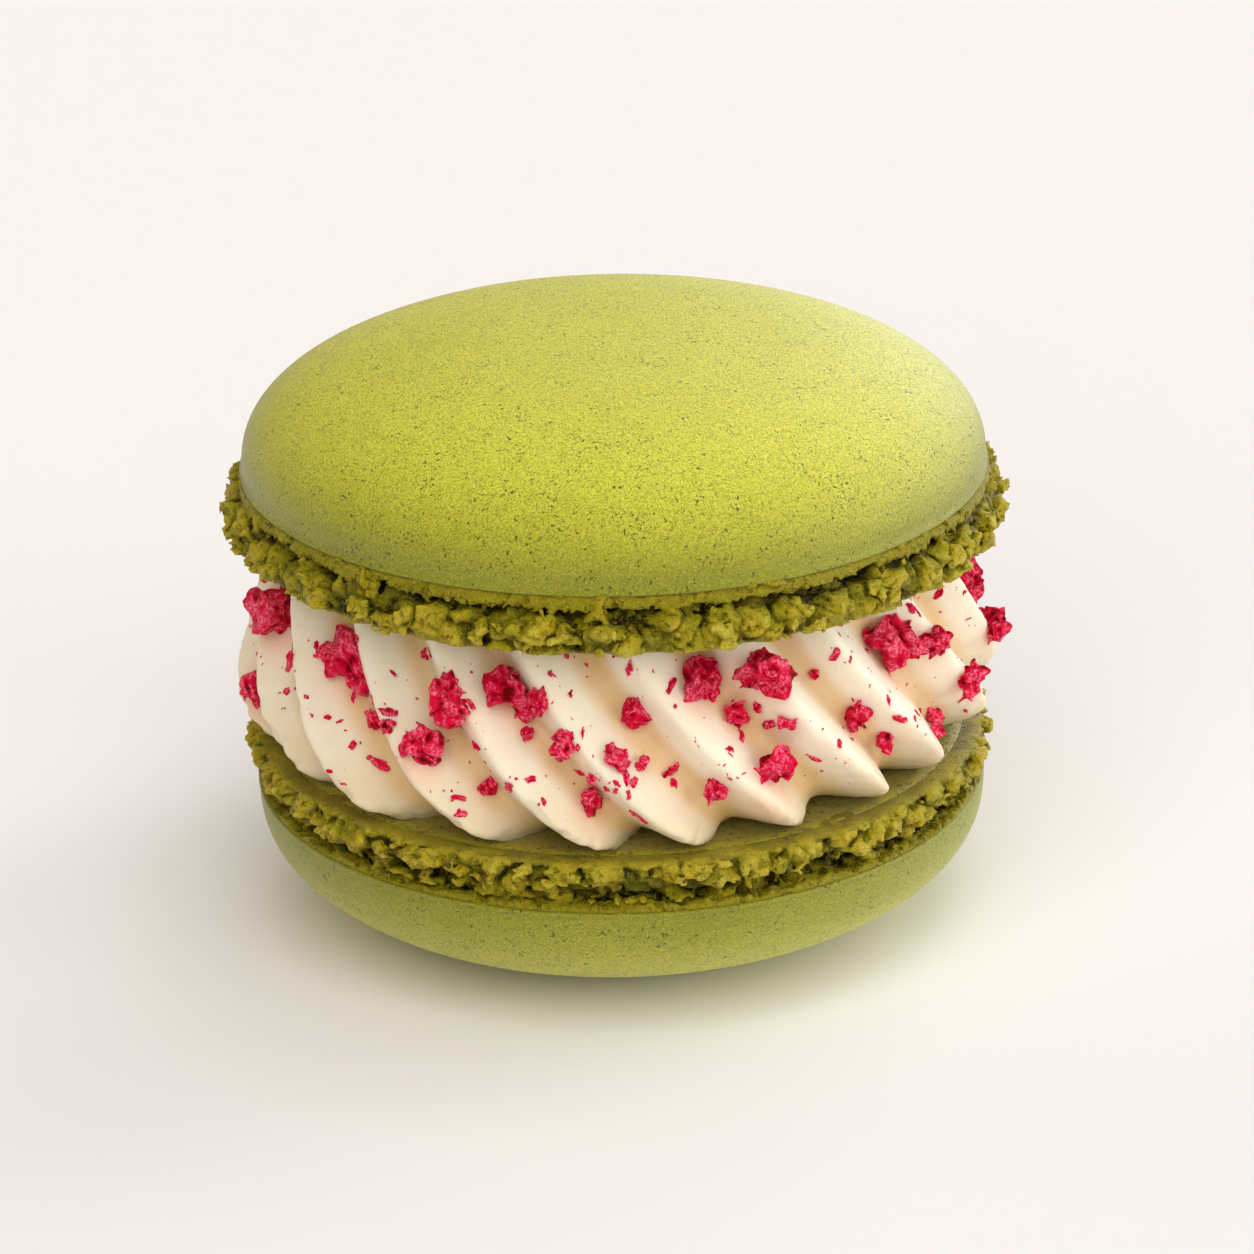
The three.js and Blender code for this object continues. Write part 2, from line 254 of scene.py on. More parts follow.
class Nodes:
    """Makes the nodes of one tree."""

    def __init__(self, tree):
        self.tree = tree

    def make(self, kind, settings=None, inputs=None):
        """A node of a kind. Its settings come first, then the values or links of its sockets."""
        node = self.tree.nodes.new(kind)
        for name, value in (settings or {}).items():
            setattr(node, name, value)
        for name, value in (inputs or {}).items():
            feed(self.tree, node.inputs[name], value)
        return node

    def value(self, kind, settings=None, inputs=None, output=0):
        """One output of a new node."""
        return Value(self.tree, self.make(kind, settings, inputs).outputs[output])

    def layered(self, colour, *layers):
        """A colour with others laid over it in turn, each by its own mask."""
        for mask, over in layers:
            inputs = {0: mask, 6: colour, 7: over}
            colour = self.value("ShaderNodeMix", {"data_type": "RGBA"}, inputs, output=2)
        return colour

    def vector(self, across, along, up):
        return self.value("ShaderNodeCombineXYZ", None, {0: across, 1: along, 2: up})

    def scaled(self, vector, factor):
        settings = {"operation": "SCALE"}
        return self.value("ShaderNodeVectorMath", settings, {0: vector, "Scale": factor})

    def shifted(self, vector, other):
        return self.value("ShaderNodeVectorMath", {"operation": "ADD"}, {0: vector, 1: other})

    def noise(self, vector, scale, detail=2.0, roughness=0.5, output=0):
        inputs = {"Vector": vector, "Scale": scale, "Detail": detail, "Roughness": roughness}
        return self.value("ShaderNodeTexNoise", None, inputs, output)

    def drift(self, vector, scale):
        """A vector that wanders between -0.5 and 0.5 along each axis."""
        return self.shifted(self.noise(vector, scale, 1.0, output="Color"), (-0.5, -0.5, -0.5))

    def cells(self, vector, scale, feature="F1"):
        """How far each place is from the middle of its cell, or from the cell's edge."""
        inputs = {"Vector": vector, "Scale": scale, "Randomness": 1.0}
        return self.value("ShaderNodeTexVoronoi", {"feature": feature}, inputs, "Distance")

    def random(self, low, high, seed):
        """A number between two for each point, by a seed."""
        inputs = {2: low, 3: high, "Seed": seed}
        return self.value("FunctionNodeRandomValue", {"data_type": "FLOAT"}, inputs, output=1)

    def stored(self, name, kind="FLOAT"):
        """What each point says under a name."""
        settings = {"data_type": kind}
        return self.value("GeometryNodeInputNamedAttribute", settings, {"Name": name})

    def store(self, geometry, name, value):
        """Writes a number on each point under a name."""
        return self.value("GeometryNodeStoreNamedAttribute",
                          {"data_type": "FLOAT", "domain": "POINT"},
                          {"Geometry": geometry, "Name": name, "Value": value})

    def resized(self, geometry, factor):
        inputs = {"Geometry": geometry, "Scale": (factor, factor, factor)}
        return self.value("GeometryNodeTransform", None, inputs)


def geometry_tree(name, numbers, with_geometry=False):
    """A geometry node tree with named number inputs, its node maker and its inputs."""
    tree = bpy.data.node_groups.new(name, "GeometryNodeTree")
    if with_geometry:
        tree.interface.new_socket("Geometry", in_out="INPUT", socket_type="NodeSocketGeometry")
    for number in numbers:
        tree.interface.new_socket(number, in_out="INPUT", socket_type="NodeSocketFloat")
    tree.interface.new_socket("Geometry", in_out="OUTPUT", socket_type="NodeSocketGeometry")
    nodes = Nodes(tree)
    entry = nodes.make("NodeGroupInput")
    inputs = {socket.name: Value(tree, socket) for socket in entry.outputs if socket.name}
    return tree, nodes, inputs


def close_tree(nodes, kept, material):
    """Ends a tree: brings its geometry from millimetres to metres and coats it."""
    sized = nodes.resized(kept, MM)
    real = nodes.value("GeometryNodeRealizeInstances", None, {"Geometry": sized})
    coated = nodes.value("GeometryNodeSetMaterial", None, {"Geometry": real, "Material": material})
    nodes.make("NodeGroupOutput", None, {0: coated})


def apply_tree(piece, tree, **values):
    """Runs a geometry tree on a piece, and keeps the result as the piece's plain mesh."""
    modifier = piece.modifiers.new("shape", "NODES")
    modifier.node_group = tree
    for item in tree.interface.items_tree:
        if item.in_out == "INPUT" and item.name in values:
            modifier[item.identifier] = values[item.name]
    graph = bpy.context.evaluated_depsgraph_get()
    made = bpy.data.meshes.new_from_object(piece.evaluated_get(graph))
    piece.modifiers.remove(modifier)
    old = piece.data
    piece.data = made
    made.name = piece.name
    bpy.data.meshes.remove(old)
    return piece


# ==== Helpers for meshes =================================================================


def around(turn, radius, height):
    """Points at turns in degrees, radii and heights, as an array of x, y, z."""
    turn, radius, height = np.broadcast_arrays(np.radians(turn), radius, height)
    return np.stack([radius * np.sin(turn), -radius * np.cos(turn), height], -1)


def add_object(name, data):
    """A new object in the scene, with a mesh, a light or a camera."""
    result = bpy.data.objects.new(name, data)
    bpy.context.scene.collection.objects.link(result)
    return result


def mesh_object(name, points, faces, smooth=True):
    """An object whose mesh has these points, in millimetres, and faces."""
    mesh = bpy.data.meshes.new(name)
    mesh.from_pydata((np.asarray(points) * MM).tolist(), [], faces)
    mesh.update()
    mesh.polygons.foreach_set("use_smooth", [smooth] * len(mesh.polygons))
    return add_object(name, mesh)


def closed_tube(name, grid, first_pole, last_pole):
    """An object from rows of points that each close on themselves, with a pole at either end."""
    rows, columns, _ = grid.shape
    points = np.vstack([grid.reshape(-1, 3), first_pole, last_pole])
    first, last = rows * columns, rows * columns + 1
    start = np.arange(rows - 1)[:, None] * columns
    column = np.arange(columns)
    following = (column + 1) % columns
    above = start + columns
    sides = [start + column, start + following, above + following, above + column]
    last_row = first - columns
    first_fan = [following, column, np.full(columns, first)]
    last_fan = [last_row + column, last_row + following, np.full(columns, last)]
    faces = np.stack(sides, -1).reshape(-1, 4).tolist()
    faces += np.stack(first_fan, -1).tolist() + np.stack(last_fan, -1).tolist()
    return mesh_object(name, points, faces)


def add_attribute(piece, name, values):
    """Stores a number or a vector for each point of a piece."""
    values = np.asarray(values, np.float32)
    kind, field = ("FLOAT", "value") if values.ndim == 1 else ("FLOAT_VECTOR", "vector")
    attribute = piece.data.attributes.new(name, kind, "POINT")
    attribute.data.foreach_set(field, values.ravel())


def point_places(piece):
    """A piece's points, in millimetres."""
    places = np.zeros(len(piece.data.vertices) * 3)
    piece.data.vertices.foreach_get("co", places)
    return places.reshape(-1, 3) / MM


def smooth_curve(knots, values, at):
    """A smooth curve through knots, with each knot's slope taken from its neighbours."""
    knots = np.asarray(knots, float)
    values = np.asarray(values, float)
    slopes = np.gradient(values, knots)
    at = np.clip(at, knots[0], knots[-1])
    place = np.clip(np.searchsorted(knots, at, side="right") - 1, 0, len(knots) - 2)
    width = knots[place + 1] - knots[place]
    t = (at - knots[place]) / width
    return (
        (1 + 2 * t) * (1 - t) ** 2 * values[place]
        + t * (1 - t) ** 2 * width * slopes[place]
        + t**2 * (3 - 2 * t) * values[place + 1]
        + t**2 * (t - 1) * width * slopes[place + 1]
    )


def soft_noise(points, size, seed, octaves=3):
    """Smooth noise, mostly from -1 to 1, at points in millimetres, as a sum of turned waves."""
    rng = np.random.default_rng(seed)
    total = np.zeros(points.shape[:-1])
    weight = 0.0
    waves = 9
    for octave in range(octaves):
        gain = 0.55**octave
        for _ in range(waves):
            direction = rng.normal(size=3)
            direction *= rng.uniform(0.7, 1.4) * 2 * math.pi / (size * 0.5**octave)
            total += gain * np.sin(points @ direction / 2.2 + rng.uniform(0, 2 * math.pi))
        weight += gain * waves**0.5
    return total / (1.6 * weight)


# ==== Shell domes ========================================================================


def dome_outline(shell):
    """Radius and height of a dome's side, from under the lip to the crown."""
    foot = shell["foot_height"]
    rise = shell["dome_rise"] - LIP_HEIGHT
    flat_share = shell["flat_radius"] / shell["dome_radius"]
    last = math.acos(flat_share ** (shell["side_power"] / 2))
    angle = np.linspace(0, last, DOME["side_rows"])
    radius = shell["dome_radius"] * np.cos(angle) ** (2 / shell["side_power"])
    height = foot + LIP_HEIGHT + rise * np.sin(angle) ** (2 / shell["crown_power"])
    radius = np.maximum(radius, max(shell["flat_radius"], DOME["smallest_ring"]))
    under = np.array(LIP_EDGE) + (shell["lip_radius"], foot)
    return np.concatenate([under[:, 0], radius]), np.concatenate([under[:, 1], height])


def make_dome(name, shell):
    """The smooth top of a shell, with its inner face, as one closed mesh."""
    foot = shell["foot_height"]
    columns, face_rows = DOME["columns"], DOME["face_rows"]
    seed = int(shell["seed"])
    turns = np.arange(columns) * 360 / columns
    side_radius, side_height = dome_outline(shell)
    face_edge = shell["foot_radius"] - DOME["face_inset"]
    face_radius = np.linspace(DOME["smallest_face_ring"], face_edge, face_rows)
    radius = np.concatenate([face_radius, side_radius])
    height = np.concatenate([np.zeros(face_rows), side_height])
    points = around(turns[None, :], radius[:, None], height[:, None])

    # The dome is a little uneven, apart from the flat on its crown.
    bulge = DOME["unevenness"] * soft_noise(points, 26, seed, 2)
    above_lip = (height > foot + 0.5)[:, None]
    away = points - np.array([0.0, 0.0, foot])
    away /= np.linalg.norm(away, axis=-1, keepdims=True)
    fade = np.ones(len(height))
    if shell["flat_radius"] > 0:
        fade = np.clip((radius - shell["flat_radius"]) / DOME["flat_fade"], 0, 1)
    points += away * (bulge * above_lip * fade[:, None])[..., None]
    points[:face_rows, :, 2] += DOME["face_relief"] * soft_noise(points[:face_rows], 1.6, 7 + seed)

    piece = closed_tube(name, points, [0, 0, 0], [0, 0, height[-1]])
    rise = (height - foot) / shell["dome_rise"]
    add_attribute(piece, "rise", np.append(np.repeat(rise, columns), [rise[0], 1.0]))
    return piece


def place_shell(piece, shell, upside_down):
    """Puts a piece made on its inner face at z = 0 where its shell sits."""
    if upside_down:
        move = Matrix.Translation((shell["shift"] * MM, 0, LOWER_FACE * MM))
        move = move @ Matrix.Rotation(math.pi, 4, "X")
    else:
        move = Matrix.Translation((shell["shift"] * MM, 0, UPPER_FACE * MM))
    piece.data.transform(move)


# ==== Ruffled feet =======================================================================


def ring_place(nodes, seed):
    """The place in a foot's volume: its vector moved by a seed, its radius and its height."""
    place = nodes.value("GeometryNodeInputPosition")
    split = nodes.make("ShaderNodeSeparateXYZ", None, {0: place})
    across, along, height = (Value(nodes.tree, socket) for socket in split.outputs)
    radius = (across * across + along * along).root()
    return nodes.shifted(place, nodes.vector(0.0, 0.0, seed * 7.3)), radius, height


def skin(nodes, inputs, field, kept_values, material):
    """The skin of a field in millimetres, as a mesh in metres that keeps some named values."""
    foot, voxel = inputs["foot_height"], inputs["voxel"]
    round_it, over_it = 1.4, 0.5  # how far the volume goes past the foot
    half = inputs["reach"] + round_it
    wide = (2.0 * half / voxel).math("ROUND")
    tall = ((foot + 2 * over_it) / voxel).math("ROUND")
    cube = nodes.value("GeometryNodeVolumeCube", None, {
        "Density": field, "Background": -1.0, "Min": nodes.vector(-half, -half, -over_it),
        "Max": nodes.vector(half, half, foot + over_it),
        "Resolution X": wide, "Resolution Y": wide, "Resolution Z": tall,
    })
    kept = nodes.value("GeometryNodeVolumeToMesh", None, {
        "Volume": cube, "Threshold": 0.0, "Adaptivity": SKIN_ADAPTIVITY,
    })
    island = nodes.value("GeometryNodeInputMeshIsland")
    count = nodes.value("GeometryNodeAccumulateField", {"data_type": "INT", "domain": "POINT"},
                        {"Value": 1, "Group ID": island}, "Total")
    stray = count.math("LESS_THAN", SMALLEST_ISLAND)
    kept = nodes.value("GeometryNodeDeleteGeometry", {"domain": "POINT"},
                       {"Geometry": kept, "Selection": stray})
    for name, value in kept_values:
        kept = nodes.store(kept, name, value)
    close_tree(nodes, kept, material)


def lump_top(distance, size):
    """The rounded top of a lump, by the distance from its middle."""
    return (1 - (distance / size) ** 2.0).most(0.0).root()


def foot_tree(material):
    """Fills a ring with lumps of burst foam, with holes at one level and a thin plate below."""
    tree, nodes, inputs = geometry_tree("ruffled_foot", (
        "foot_height", "reach", "hole_level", "hole_rarity", "plate_inset", "plate_gap", "voxel",
        "seed",
    ))
    foot, reach, rarity = inputs["foot_height"], inputs["reach"], inputs["hole_rarity"]
    seeded, radius, height = ring_place(nodes, inputs["seed"])
    warped = nodes.shifted(seeded, nodes.scaled(nodes.drift(seeded, 0.8), 1.6))
    shaken = nodes.shifted(warped, nodes.scaled(nodes.drift(seeded, 2.6), 0.4))
    level = height / foot

    # Nuggets stand forward, with knobs, cracks and burst bubbles on them and between them.
    nugget = lump_top(nodes.cells(warped, NUGGETS_PER_MM), 0.62)
    knob = lump_top(nodes.cells(shaken, KNOBS_PER_MM), 0.56)
    elsewhere = nodes.shifted(shaken, (5.0, 1.0, 2.0))
    small_knob = lump_top(nodes.cells(elsewhere, SMALL_KNOBS_PER_MM), 0.55)
    crack = nodes.cells(warped, NUGGETS_PER_MM, "DISTANCE_TO_EDGE").between(0.11, 0.0)
    torn = nodes.noise(seeded, 0.9, 1.0).between(0.42, 0.58)
    burst = nodes.cells(nodes.shifted(shaken, (3.0, 8.0, 1.0)), BUBBLES_PER_MM)
    bubble = burst.between(0.4, 0.16) * torn
    grain = nodes.noise(seeded, 3.6, 3.0, 0.7)
    narrowing = level.between(0.35, 1.0) * NARROWING
    body = reach - FOAM_SETBACK - narrowing - radius
    body = body + NUGGET_REACH * nugget * level.between(-0.25, 0.15)
    body = body - 0.35 * level.between(0.13, 0.0)
    body = body + KNOB_REACH * knob + SMALL_KNOB_REACH * small_knob
    body = body - CRACK_DEPTH * crack - BUBBLE_DEPTH * bubble
    body = body + GRAIN_DEPTH * (grain - 0.5)

    # Nuggets hang free of the thin plate here and there.
    free = nodes.noise(nodes.shifted(seeded, (0.0, 6.0, 0.0)), 0.8, 1.0).between(0.46, 0.56)
    under = (level - 0.17).size().between(0.11, 0.03)
    body = body - inputs["plate_gap"] * free * under

    # Holes side by side at one level, as the foot has risen off the dome there.
    band = (level - inputs["hole_level"]).size().between(0.19, 0.08)
    gaps = nodes.noise(seeded, 0.62, 1.5).between(rarity - 0.04, rarity + 0.05)
    body = body - HOLE_DEPTH * band * gaps * (1 - 0.55 * nugget)

    # The thin plate along the inner face.
    rag = nodes.noise(seeded, 1.9, 3.0, 0.65)
    plate = reach - inputs["plate_inset"] + 0.45 * (rag - 0.5) + 0.2 * (knob - 0.5) - radius
    body = body.most(plate.least(PLATE_THICKNESS + 0.4 * (grain - 0.5) - height))

    # Nothing reaches past the inner face, far under the dome or far above the lip.
    field = body.least(height - 0.03 + 0.14 * (rag - 0.5))
    field = field.least((radius - reach + 2.5) * 0.8)
    field = field.least(foot + 0.1 - height)
    # Painted shading: lighter the further a point stands out and on nuggets and knobs, darker in
    # bubbles and cracks, where light and shade fall.
    forward = (radius - reach + 0.9) * 0.5
    painted_shading = forward + 0.4 * nugget + 0.3 * (knob - 0.5) - 0.5 * bubble - 0.4 * crack
    skin(nodes, inputs, field, (("painted_shading", painted_shading), ("level", level)), material)
    return tree


def skirt_tree(material):
    """The torn strip of the dome's skin that hangs on the foot under the lip."""
    tree, nodes, inputs = geometry_tree("torn_skirt", (
        "foot_height", "reach", "skirt_drop", "skirt_flare", "voxel", "seed",
    ))
    reach = inputs["reach"]
    seeded, radius, height = ring_place(nodes, inputs["seed"])
    wide = nodes.noise(seeded, 0.5, 1.0)
    rag = nodes.noise(seeded, 2.0, 3.5, 0.68)
    grain = nodes.noise(seeded, 4.0, 3.0, 0.6)
    drop = inputs["skirt_drop"] + 1.1 * (wide - 0.5) + 1.7 * (rag - 0.5)
    below = inputs["foot_height"] - height
    outward = reach + inputs["skirt_flare"] * below
    outward = outward + 0.3 * (grain - 0.5) * below.between(0.0, 0.3)
    outward = outward - 0.14 * below.between(0.16, 0.02)
    field = (outward - radius).least((drop - below) * 0.8).least((radius - reach + 1.0) * 0.9)
    pits = nodes.cells(seeded, 1.3).between(0.3, 0.12) * nodes.noise(seeded, 0.9).between(0.5, 0.6)
    field = (field - 0.35 * pits).least(below + 0.05)
    # Painted shading: a grain tone, darker in the pits where shade falls.
    painted_shading = 0.3 + 0.5 * (grain - 0.5) - 0.4 * pits
    skin(nodes, inputs, field, (("painted_shading", painted_shading), ("level", 1.0)), material)
    return tree


def make_ring(name, tree, **values):
    """A foot or a skirt, which its tree makes out of nothing."""
    piece = mesh_object(name, np.zeros((0, 3)), [])
    apply_tree(piece, tree, **values)
    piece.data.polygons.foreach_set("use_smooth", [True] * len(piece.data.polygons))
    return piece


# ==== Cream ==============================================================================


def ridge_turns():
    """Each ridge's turn at its lower end, the front ones first."""
    first, last = FRONT_TIPS[0], FRONT_TIPS[-1]
    step = (first + 360 - last) / (HIDDEN_RIDGES + 1)
    hidden = [last + step * (index + 1) for index in range(HIDDEN_RIDGES)]
    return np.array(FRONT_TIPS + hidden, float)


def ridge_section(phase):
    """1 on a crest and 0 in a valley, with the crest tighter than the valley."""
    away = np.abs(2 * (phase - np.round(phase)))
    softened = np.hypot(away, CREST_WIDTH) - CREST_WIDTH
    fall = softened / (math.hypot(1, CREST_WIDTH) - CREST_WIDTH)
    return (1 - fall) ** 2 * (1 + VALLEY_WIDTH * fall)


def cream_surface(phase, share):
    """Turn, radius, height and ridge section of the cream's side."""
    rng = np.random.default_rng(8)
    reach = rng.uniform(-RIDGE_REACH_SPREAD, RIDGE_REACH_SPREAD, RIDGES)
    lean = rng.uniform(-RIDGE_LEAN_SPREAD, RIDGE_LEAN_SPREAD, RIDGES)
    tips = ridge_turns()
    index = np.floor(phase).astype(int) % RIDGES
    along = phase - np.floor(phase)
    following = (index + 1) % RIDGES
    gap = (tips[following] - tips[index]) % 360
    blended = along * along * (3 - 2 * along)
    turn_back = -TWIST * (1 - (1 - share) ** TWIST_EASE)
    leaning = (lean[index] * (1 - along) + lean[following] * along) * share
    turn = tips[index] + gap * along + turn_back + leaning
    own_reach = reach[index] * (1 - blended) + reach[following] * blended
    section = ridge_section(phase)
    depth = LOWER_DEPTH + (UPPER_DEPTH - LOWER_DEPTH) * share
    radius = smooth_curve(CREST_SHARES, CREST_RADII, share) + own_reach - depth * (1 - section)
    return turn, radius, LOWER_FACE + FILLING_HEIGHT * share, section


def make_cream():
    """The piped cream from shell to shell, with its ridges, as one closed mesh."""
    columns = RIDGES * RIDGE_COLUMNS
    phase = np.arange(columns)[None, :] / RIDGE_COLUMNS
    share = (np.linspace(0, 1, CREAM_ROWS) ** ROW_CROWDING)[:, None]
    turn, radius, height, section = cream_surface(phase, share + 0 * phase)
    points = around(turn, radius, height)
    smear = SMEAR * soft_noise(points, 7, 5) + FINE_SMEAR * soft_noise(points, 1.6, 6, 2)

    # The lower edge is scalloped between the crests and notched on them.
    waves = np.radians(turn) * SCALLOPS / 2 + 4.0 * soft_noise(points, 6, 9, 1)
    scallop = np.abs(np.sin(waves)) * np.clip(0.6 + 1.2 * soft_noise(points, 4, 10, 1), 0, 1.2)
    fringe = np.clip(1 - share / SCALLOP_SHARE, 0, 1) ** 1.2
    notches = np.clip(soft_noise(points, 1.9, 15, 2) + 0.15, 0, 1) * section**2
    notches = notches * np.clip(1.2 - 1.6 * share, 0, 1)
    radius = radius + smear - SCALLOP_DEPTH * fringe * scallop * (1 - section * section)
    radius = radius - NOTCH_DEPTH * notches

    points = around(turn, radius, height)
    piece = closed_tube("cream", points, [0, 0, LOWER_FACE], [0, 0, UPPER_FACE])
    add_attribute(piece, "crest", np.append((section + 0 * share).ravel(), [0, 0]))
    add_attribute(piece, "share", np.append((share + 0 * phase).ravel(), [0, 1]))
    return piece


# ==== Crumbs =============================================================================


def crumb_list():
    """All crumbs larger than a fleck, as (turn, share, width, height)."""
    rng = np.random.default_rng(23)
    rule = HIDDEN_CRUMBS
    crumbs = FRONT_CRUMBS + SMALL_CRUMBS
    for place in range(rule["count"]):
        step = (place + 0.6 * rng.random()) / rule["count"]
        turn = rule["from_turn"] + (rule["to_turn"] - rule["from_turn"]) * step
        share = rule["low"] + (rule["high"] - rule["low"]) * rng.random()
        width = rule["small"] + (rule["large"] - rule["small"]) * rng.random() ** rule["rarity"]
        crumbs.append((turn, share, width, width * rng.uniform(0.8, 1.3)))
    return crumbs


def seats_on_cream(cream, crumbs):
    """Where each crumb sits on the cream, and which way the cream faces there."""
    places = point_places(cream)
    facing = np.zeros(places.size)
    cream.data.vertex_normals.foreach_get("vector", facing)
    facing = facing.reshape(-1, 3)
    turns = np.degrees(np.arctan2(places[:, 0], -places[:, 1]))
    inner = np.hypot(places[:, 0], places[:, 1]) < SEAT_RADIUS
    seats = []
    for turn, share, _, _ in crumbs:
        aside = (turns - turn + 180) % 360 - 180
        height = LOWER_FACE + FILLING_HEIGHT * share
        distance = np.hypot(aside * MM_PER_DEGREE, places[:, 2] - height)
        distance[inner] = np.inf
        nearest = int(np.argmin(distance))
        seats.append((places[nearest], facing[nearest]))
    return seats


def stain_cream(cream, crumbs):
    """Stores how strongly the nearest crumbs colour the cream, from 0 to 1."""
    places = point_places(cream)
    stain = np.zeros(len(places))
    for (_, _, width, height), (seat, _) in zip(crumbs, seats_on_cream(cream, crumbs)):
        spread = 0.45 * (width + height) * 0.5 + 0.45
        below = seat - np.array([0.0, 0.0, 0.25 * height])
        distance = np.linalg.norm(places - below, axis=1)
        stain = np.maximum(stain, min(1.0, 0.35 * height) * np.exp(-(distance / spread) ** 2))
    add_attribute(cream, "stain", stain)


def lumps_on_points(nodes, points, subdivisions, size, turned):
    """A round lump on each point, as large and as turned as given there."""
    lump = nodes.value("GeometryNodeMeshIcoSphere", None,
                       {"Radius": 0.5, "Subdivisions": subdivisions})
    spread = nodes.value("GeometryNodeInstanceOnPoints", None, {
        "Points": points, "Instance": lump, "Scale": size, "Rotation": turned,
    })
    return nodes.value("GeometryNodeRealizeInstances", None, {"Geometry": spread})


def crumple(nodes, lumps, amount, pace, width, fine_scale):
    """Folds and roughens lumps, and stores how far each point stands out."""
    place = nodes.value("GeometryNodeInputPosition")
    normal = nodes.value("GeometryNodeInputNormal")
    paced = nodes.scaled(place, pace)
    folds = nodes.drift(paced, 1.1)
    creased = 1 - 2.0 * (nodes.noise(paced, 1.35, 1.5) - 0.5).size()
    lobes = lump_top(nodes.cells(nodes.shifted(paced, folds), 1.5), 0.8)
    fine = nodes.noise(place, fine_scale, 3.0, 0.65)
    outward = (creased - 0.86) * 0.9 + 0.32 * (lobes - 0.5)
    outward = (outward * width + 0.26 * (fine - 0.5)) * amount
    push = nodes.shifted(nodes.scaled(folds, 2.3 * width * amount), nodes.scaled(normal, outward))
    moved = nodes.value("GeometryNodeSetPosition", None, {"Geometry": lumps, "Offset": push})
    relief = 0.5 + 1.5 * (creased - 0.86) + 0.35 * (lobes - 0.5) + 1.3 * (fine - 0.5)
    return nodes.store(moved, "relief", relief)


def crumb_tree(material, subdivisions):
    """Puts a lump on every point, as large as the point says, and crumples it."""
    tree, nodes, inputs = geometry_tree("crumbs", ("crumple",), with_geometry=True)
    size, turned = nodes.stored("size", "FLOAT_VECTOR"), nodes.stored("turned", "FLOAT_VECTOR")
    lumps = lumps_on_points(nodes, inputs["Geometry"], subdivisions, size, turned)
    width = nodes.stored("width")
    pace = 1.0 / (width * 0.42 + 0.25)
    close_tree(nodes, crumple(nodes, lumps, inputs["crumple"], pace, width, 5.0), material)
    return tree


def fleck_tree(material):
    """Scatters specks and shreds over the cream's outer face by a seed."""
    numbers = ("crowd", "smallest", "largest", "crumple", "lowest", "highest")
    tree, nodes, inputs = geometry_tree("flecks", numbers, with_geometry=True)
    share, crest = nodes.stored("share"), nodes.stored("crest")
    place = nodes.value("GeometryNodeInputPosition")
    clumps = nodes.noise(nodes.scaled(place, 1 / MM), 0.28).between(0.35, 0.65)
    inside = share.between(inputs["lowest"], inputs["lowest"] + 0.3)
    inside = inside * share.between(inputs["highest"] + 0.1, inputs["highest"])
    crowd = inputs["crowd"] * inside * clumps * (0.4 + 0.6 * crest)
    spots = nodes.make("GeometryNodeDistributePointsOnFaces", {"distribute_method": "RANDOM"},
                       {"Mesh": inputs["Geometry"], "Density": crowd, "Seed": 12})
    points, facing = (Value(tree, spots.outputs[name]) for name in ("Points", "Rotation"))
    rarity = nodes.random(0.0, 1.0, 3)
    wide = inputs["smallest"] + (inputs["largest"] - inputs["smallest"]) * rarity ** 3.0
    size = nodes.vector(wide, wide * nodes.random(0.7, 3.2, 4), wide * 0.4)
    spin = nodes.vector(0.0, 0.0, nodes.random(0.0, 2 * math.pi, 5))
    turned = nodes.value("FunctionNodeRotateRotation", {"rotation_space": "LOCAL"},
                         {0: facing, 1: spin})
    points = nodes.resized(nodes.store(points, "width", wide), 1 / MM)
    specks = lumps_on_points(nodes, points, 2, size, turned)
    width = nodes.stored("width")
    pace = 1.0 / (width * 0.5 + 0.1)
    close_tree(nodes, crumple(nodes, specks, inputs["crumple"], pace, width, 8.0), material)
    return tree


def make_crumbs(name, cream, crumbs, tree, seed):
    """One lump for each crumb, seated on the cream."""
    rng = np.random.default_rng(seed)
    points, sizes, turned, widths = [], [], [], []
    for (_, _, width, height), (seat, facing) in zip(crumbs, seats_on_cream(cream, crumbs)):
        width, height = CRUMB_SHRINK * width, CRUMB_SHRINK * height
        depth = CRUMB_DEPTH * min(width, height)
        outward = Vector(facing)
        side = Vector((0, 0, 1)).cross(outward).normalized()
        basis = Matrix((side, outward, outward.cross(side))).transposed()
        spin = Matrix.Rotation(rng.uniform(-CRUMB_SPIN, CRUMB_SPIN), 3, "Y")
        points.append(tuple(Vector(seat) + outward * depth * CRUMB_STAND))
        sizes.append((width, depth, height))
        turned.append((basis @ spin).to_euler())
        widths.append(min(width, height))
    piece = add_object(name, bpy.data.meshes.new(name))
    piece.data.from_pydata(points, [], [])
    for told, values in (("size", sizes), ("turned", turned), ("width", widths)):
        add_attribute(piece, told, values)
    return apply_tree(piece, tree, crumple=CRUMPLE)


def make_flecks(cream, tree):
    """Specks too small to list, on the cream's surface."""
    piece = add_object("raspberry_flecks", cream.data.copy())
    return apply_tree(piece, tree, crumple=CRUMPLE, **FLECKS)


# ==== Materials ==========================================================================


def screen(red, green, blue):
    """A screen colour, 0 to 255, as the light that shaders work with."""
    def channel(value):
        share = value / 255
        return share / 12.92 if share <= 0.04045 else ((share + 0.055) / 1.055) ** 2.4
    return (channel(red), channel(green), channel(blue), 1.0)


def new_material(name):
    """A material with its node maker, its surface and the place on a piece in millimetres."""
    material = bpy.data.materials.new(name)
    material.use_nodes = True
    material.node_tree.nodes.clear()
    nodes = Nodes(material.node_tree)
    surface = nodes.make("ShaderNodeBsdfPrincipled")
    nodes.make("ShaderNodeOutputMaterial", None, {0: Value(nodes.tree, surface.outputs[0])})
    place = nodes.value("ShaderNodeTexCoord", output="Object")
    return material, nodes, surface, nodes.scaled(place, 1 / MM)


def attribute(nodes, name):
    return nodes.value("ShaderNodeAttribute", {"attribute_name": name}, output="Fac")


def bump(nodes, height, distance, strength):
    """The normals of a relief that is a distance deep, in millimetres."""
    inputs = {"Height": height, "Distance": distance * MM, "Strength": strength}
    return nodes.value("ShaderNodeBump", None, inputs)


